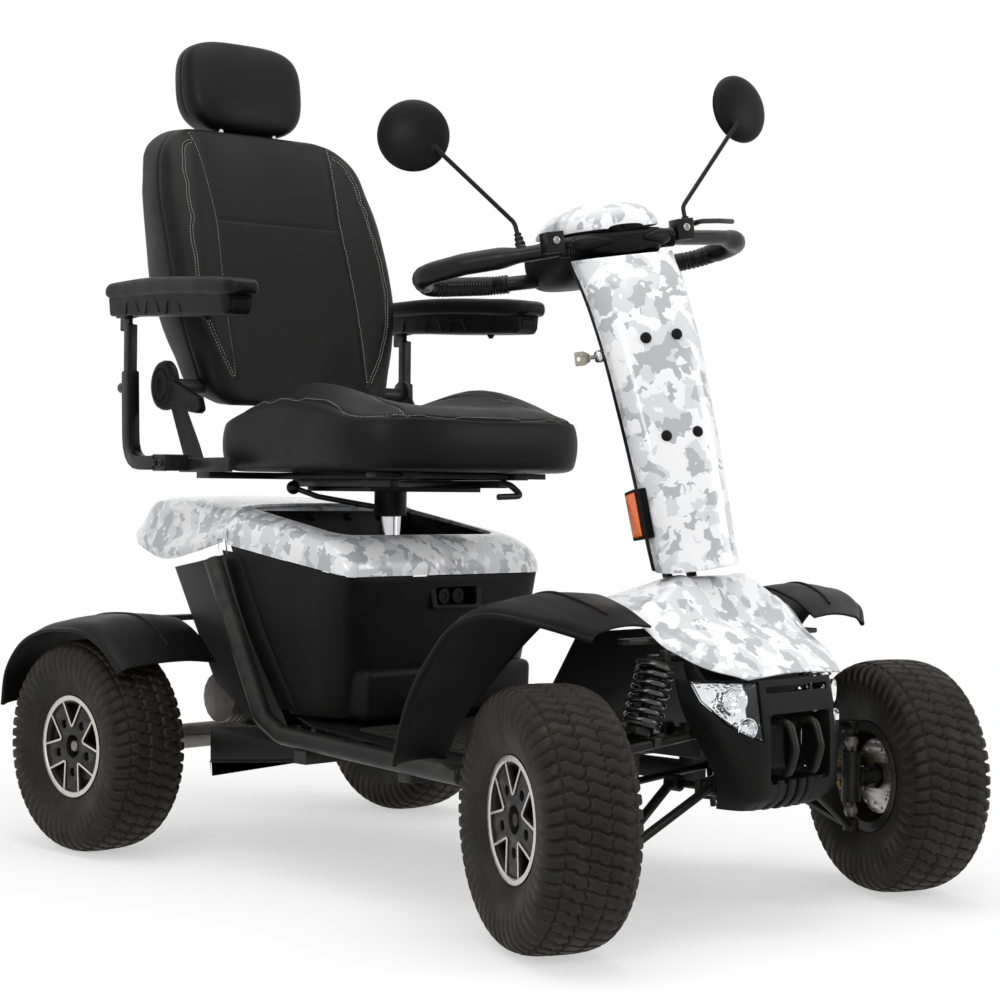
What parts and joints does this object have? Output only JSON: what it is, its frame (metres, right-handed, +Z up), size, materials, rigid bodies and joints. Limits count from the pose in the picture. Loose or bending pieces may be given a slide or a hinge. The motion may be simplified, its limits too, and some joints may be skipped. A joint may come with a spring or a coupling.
{
  "type": "mobility scooter",
  "caption": "All-terrain mobility scooter: high-backed swivel seat, steered tiller with looped handlebars, sprung front wheels, knobbly tyres, camouflage body panels.",
  "frame": {"origin": "on the ground under the centre of the whole scooter's bounding box", "axes": "+X forward, +Y to the rider's left, +Z up"},
  "size_m": [1.6708, 1.0274, 1.572],
  "materials": {
    "camouflage": "gloss",
    "black_plastic": "satin",
    "grey_plastic": "satin",
    "black_steel": "gloss",
    "chrome": "polished",
    "cast_alloy": "satin",
    "black_alloy": "gloss",
    "tyre_rubber": "matte",
    "mat_rubber": "matte",
    "vinyl": "satin",
    "clear_lens": "gloss",
    "mirror_shell": "gloss",
    "battery_case": "satin",
    "key_metal": "satin"
  },
  "bodies": {
    "frame": {"chassis_frame": "black_steel", "floor_pan": "black_plastic", "floor_mat": "mat_rubber", "body_box": "black_plastic", "deck_cover": "camouflage", "tail_cover": "camouflage", "rear_panels": "grey_plastic", "battery_R": "battery_case", "battery_L": "battery_case", "transaxle": "cast_alloy", "hood": "camouflage", "bumper": "black_plastic", "headlight_R": "clear_lens", "headlight_L": "clear_lens", "front_fenders": "black_plastic", "rear_fenders": "black_plastic", "coilover_R": "black_steel", "coilover_L": "black_steel"},
    "rear_wheel_R": {"rear_tyre_R": "tyre_rubber", "rear_rim_R": "black_alloy"},
    "rear_wheel_L": {"rear_tyre_L": "tyre_rubber", "rear_rim_L": "black_alloy"},
    "lower_link_R": {"lower_arm_R": "black_steel"},
    "lower_link_L": {"lower_arm_L": "black_steel"},
    "upper_link_R": {"upper_arm_R": "black_steel"},
    "upper_link_L": {"upper_arm_L": "black_steel"},
    "carrier_R": {"kingpin_R": "cast_alloy"},
    "carrier_L": {"kingpin_L": "cast_alloy"},
    "steered_R": {"knuckle_R": "black_steel"},
    "steered_L": {"knuckle_L": "black_steel"},
    "track_rod_R": {"tie_rod_R": "black_steel"},
    "track_rod_L": {"tie_rod_L": "black_steel"},
    "front_wheel_R": {"front_tyre_R": "tyre_rubber", "front_rim_R": "black_alloy"},
    "front_wheel_L": {"front_tyre_L": "tyre_rubber", "front_rim_L": "black_alloy"},
    "post": {"seat_post": "chrome"},
    "turntable": {"swivel_plate": "black_steel"},
    "swivel_handle": {"swivel_lever": "black_steel"},
    "seat": {"seat_frame": "black_steel", "seat_cushion": "vinyl", "armrest_post_R": "black_steel", "armrest_post_L": "black_steel"},
    "slide_handle": {"slide_lever": "black_steel"},
    "back": {"backrest": "vinyl"},
    "head": {"headrest": "vinyl"},
    "recline_handle": {"recline_lever": "black_plastic"},
    "arm_R": {"arm_pad_R": "vinyl"},
    "arm_L": {"arm_pad_L": "vinyl"},
    "column": {"steering_stem": "black_steel"},
    "tiller": {"tiller_cover_front": "camouflage", "tiller_cover_rear": "black_plastic", "console": "black_plastic", "console_dome": "camouflage", "handlebar": "black_steel"},
    "brake_handle": {"brake_lever": "black_plastic"},
    "thumb_lever": {"throttle_lever": "cast_alloy"},
    "key": {"ignition_key": "key_metal"},
    "mirror_head_R": {"mirror_R": "mirror_shell"},
    "mirror_head_L": {"mirror_L": "mirror_shell"}
  },
  "joints": [
    {"name": "rear_wheel_spin_R", "type": "hinge", "parent": "frame", "child": "rear_wheel_R", "pos_m": [-0.56285, -0.379, 0.1917], "axis": [0, 1, 0], "continuous": true},
    {"name": "rear_wheel_spin_L", "type": "hinge", "parent": "frame", "child": "rear_wheel_L", "pos_m": [-0.56285, 0.379, 0.1917], "axis": [0, 1, 0], "continuous": true},
    {"name": "suspension_R", "type": "hinge", "parent": "frame", "child": "lower_link_R", "pos_m": [0.62415, -0.1, 0.216], "axis": [-1, 0, 0], "range_deg": [-0.8, 3], "stiffness_Nm_per_rad": 1500, "springref_deg": -3.04},
    {"name": "suspension_L", "type": "hinge", "parent": "frame", "child": "lower_link_L", "pos_m": [0.62415, 0.1, 0.216], "axis": [1, 0, 0], "range_deg": [-0.8, 3], "stiffness_Nm_per_rad": 1500, "springref_deg": -3.04},
    {"name": "upper_link_swing_R", "type": "hinge", "parent": "frame", "child": "upper_link_R", "pos_m": [0.62415, -0.125, 0.3], "axis": [-1, 0, 0], "range_deg": [-3.6, 3.6], "deforming": ["coilover_R"]},
    {"name": "upper_link_swing_L", "type": "hinge", "parent": "frame", "child": "upper_link_L", "pos_m": [0.62415, 0.125, 0.3], "axis": [1, 0, 0], "range_deg": [-3.6, 3.6], "deforming": ["coilover_L"]},
    {"name": "kingpin_tilt_R", "type": "hinge", "parent": "lower_link_R", "child": "carrier_R", "pos_m": [0.61115, -0.3075, 0.135], "axis": [-1, 0, 0], "range_deg": [-1.7, 1.7]},
    {"name": "kingpin_tilt_L", "type": "hinge", "parent": "lower_link_L", "child": "carrier_L", "pos_m": [0.61115, 0.3075, 0.135], "axis": [1, 0, 0], "range_deg": [-1.7, 1.7]},
    {"name": "knuckle_turn_R", "type": "hinge", "parent": "carrier_R", "child": "steered_R", "pos_m": [0.61115, -0.3075, 0.1917], "axis": [0, 0, 1], "range_deg": [-6.7, 49.4]},
    {"name": "knuckle_turn_L", "type": "hinge", "parent": "carrier_L", "child": "steered_L", "pos_m": [0.61115, 0.3075, 0.1917], "axis": [0, 0, 1], "range_deg": [-7.8, 57.8]},
    {"name": "tie_rod_turn_R", "type": "hinge", "parent": "steered_R", "child": "track_rod_R", "pos_m": [0.53879, -0.25522, 0.199], "axis": [0, 0, 1], "range_deg": [-52.4, 7.1]},
    {"name": "tie_rod_turn_L", "type": "hinge", "parent": "steered_L", "child": "track_rod_L", "pos_m": [0.52322, 0.32293, 0.199], "axis": [0, 0, 1], "range_deg": [-61.4, 8.3]},
    {"name": "front_wheel_spin_R", "type": "hinge", "parent": "steered_R", "child": "front_wheel_R", "pos_m": [0.57905, -0.3835, 0.1917], "axis": [0.3891, 0.9212, 0], "continuous": true},
    {"name": "front_wheel_spin_L", "type": "hinge", "parent": "steered_L", "child": "front_wheel_L", "pos_m": [0.64325, 0.3835, 0.1917], "axis": [0.3891, 0.9212, 0], "continuous": true},
    {"name": "seat_height", "type": "slide", "parent": "frame", "child": "post", "axis": [0, 0, 1], "range_m": [-0.02, 0.05]},
    {"name": "seat_swivel", "type": "hinge", "parent": "post", "child": "turntable", "pos_m": [-0.19085, 0, 0.655], "axis": [0, 0, 1], "range_deg": [-58, 44]},
    {"name": "swivel_release", "type": "hinge", "parent": "turntable", "child": "swivel_handle", "pos_m": [-0.18777, -0.03598, 0.628], "axis": [0, 0, 1], "range_deg": [0, 12], "stiffness_Nm_per_rad": 0.6, "springref_deg": -8.59},
    {"name": "seat_slide", "type": "slide", "parent": "turntable", "child": "seat", "axis": [0.9884, -0.1521, 0], "range_m": [-0.06, 0.05]},
    {"name": "slide_release", "type": "hinge", "parent": "seat", "child": "slide_handle", "pos_m": [0.04659, 0.05047, 0.6735], "axis": [-0.1521, -0.9884, 0], "range_deg": [-8, 0], "stiffness_Nm_per_rad": 0.5, "springref_deg": 11.46},
    {"name": "backrest_recline", "type": "hinge", "parent": "seat", "child": "back", "pos_m": [-0.55061, 0.05537, 0.853], "axis": [-0.1521, -0.9884, 0], "range_deg": [-35, 25]},
    {"name": "headrest_slide", "type": "slide", "parent": "back", "child": "head", "axis": [-0.1722, 0.0265, 0.9847], "range_m": [0, 0.06]},
    {"name": "recline_release", "type": "hinge", "parent": "seat", "child": "recline_handle", "pos_m": [-0.59169, -0.21148, 0.853], "axis": [-0.1521, -0.9884, 0], "range_deg": [0, 18], "stiffness_Nm_per_rad": 2, "springref_deg": -14.32},
    {"name": "armrest_flip_R", "type": "hinge", "parent": "seat", "child": "arm_R", "pos_m": [-0.68604, -0.23946, 0.992], "axis": [-0.1521, -0.9884, 0], "range_deg": [0, 90]},
    {"name": "armrest_flip_L", "type": "hinge", "parent": "seat", "child": "arm_L", "pos_m": [-0.59112, 0.37728, 0.992], "axis": [-0.1521, -0.9884, 0], "range_deg": [0, 90]},
    {"name": "steering", "type": "hinge", "parent": "frame", "child": "column", "pos_m": [0.52415, 0, 0.45], "axis": [-0.3289, 0, 0.9444], "range_deg": [-8, 60]},
    {"name": "tiller_tilt", "type": "hinge", "parent": "column", "child": "tiller", "pos_m": [0.49291, 0, 0.53972], "axis": [-0.414, -0.8988, -0.1442], "range_deg": [-3, 15]},
    {"name": "brake_pull", "type": "hinge", "parent": "tiller", "child": "brake_handle", "pos_m": [0.44131, 0.08409, 1.09652], "axis": [-0.0314, -0.1442, 0.9891], "range_deg": [0, 12], "stiffness_Nm_per_rad": 0.6, "springref_deg": -11.46},
    {"name": "throttle_push", "type": "hinge", "parent": "tiller", "child": "thumb_lever", "pos_m": [0.3074, -0.09133, 1.0425], "axis": [0.0314, 0.1442, -0.9891], "range_deg": [0, 12], "stiffness_Nm_per_rad": 0.3, "springref_deg": -11.46},
    {"name": "key_turn", "type": "hinge", "parent": "tiller", "child": "key", "pos_m": [0.41499, -0.11711, 0.86928], "axis": [0.414, 0.8988, 0.1442], "range_deg": [0, 60]},
    {"name": "mirror_turn_R", "type": "hinge", "parent": "tiller", "child": "mirror_head_R", "pos_m": [0.22001, -0.27972, 1.20134], "axis": [-0.0314, -0.1442, 0.9891], "range_deg": [-4, 4]},
    {"name": "mirror_turn_L", "type": "hinge", "parent": "tiller", "child": "mirror_head_L", "pos_m": [0.44274, 0.20383, 1.2789], "axis": [-0.0314, -0.1442, 0.9891], "range_deg": [-4, 4]}
  ],
  "couplings": [
    {"joint": "upper_link_swing_R", "follows": "suspension_R", "ratio": 1.16},
    {"joint": "upper_link_swing_L", "follows": "suspension_L", "ratio": 1.16},
    {"joint": "kingpin_tilt_R", "follows": "suspension_R", "ratio": -0.54},
    {"joint": "kingpin_tilt_L", "follows": "suspension_L", "ratio": -0.54},
    {"joint": "knuckle_turn_R", "follows": "steering", "ratio": 0.82},
    {"joint": "knuckle_turn_L", "follows": "steering", "ratio": 0.96},
    {"joint": "tie_rod_turn_R", "follows": "steering", "ratio": -0.87},
    {"joint": "tie_rod_turn_L", "follows": "steering", "ratio": -1.02}
  ]
}
